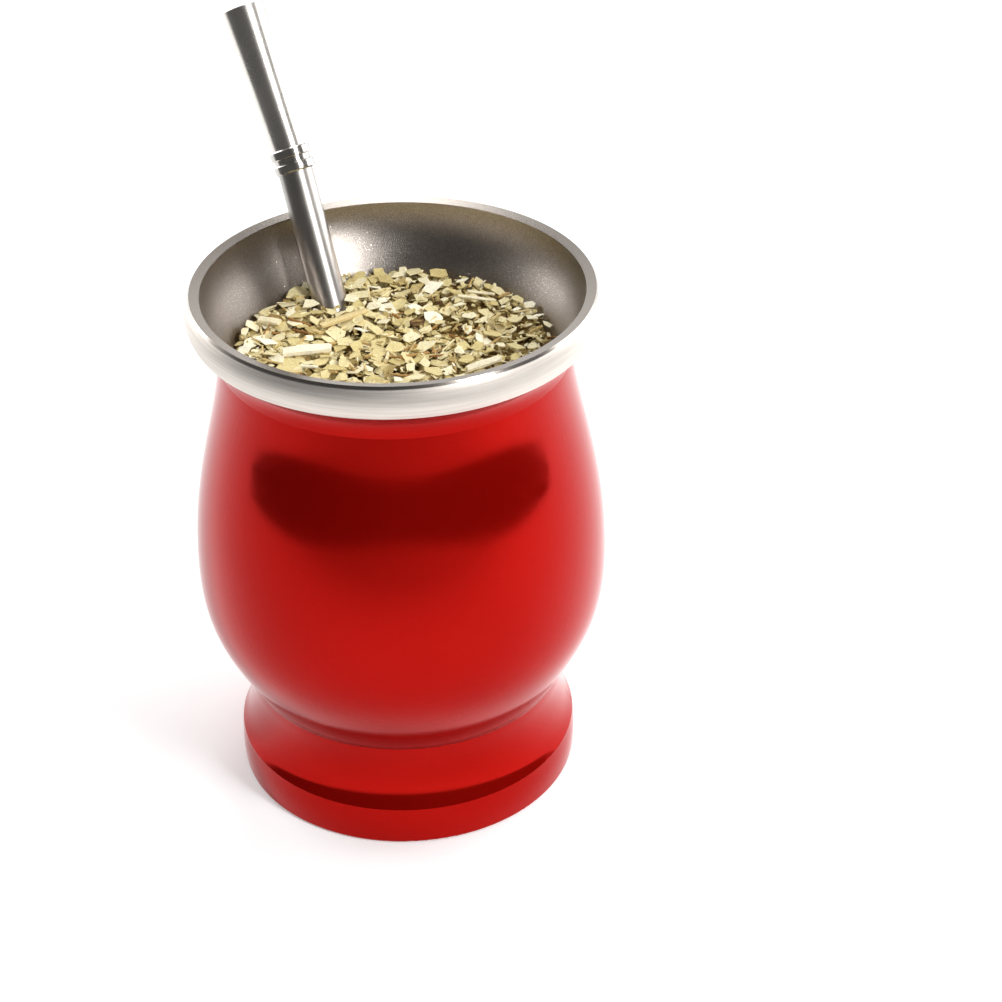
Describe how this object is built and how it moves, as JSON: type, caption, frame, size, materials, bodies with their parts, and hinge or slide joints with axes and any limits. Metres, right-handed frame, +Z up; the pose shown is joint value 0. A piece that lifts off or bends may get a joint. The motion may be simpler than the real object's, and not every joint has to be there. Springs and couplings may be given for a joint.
{
  "type": "mate cup drink with straw",
  "caption": "Footed double-wall steel mate cup with a red lacquered body, filled with dry yerba mate, and a leaning steel straw with a flared mouthpiece.",
  "frame": {"origin": "middle of the flat underside of the base plate", "axes": "+Z up along the cup's axis; the straw leans back and to the left, towards +Y and -X"},
  "size_m": [0.0852, 0.0936, 0.1542],
  "materials": {
    "red_lacquer": "glossy red lacquer",
    "satin_steel": "brushed band, bead-blasted inside",
    "dry_leaf": "dry crushed leaves and stems",
    "polished_steel": "polished stainless steel"
  },
  "bodies": {
    "root": {"outer_shell": "red_lacquer", "steel_bowl": "satin_steel", "base_plate": "satin_steel", "yerba": "dry_leaf", "straw_tube": "polished_steel", "straw_collar": "polished_steel", "straw_mouthpiece": "polished_steel"}
  },
  "joints": []
}
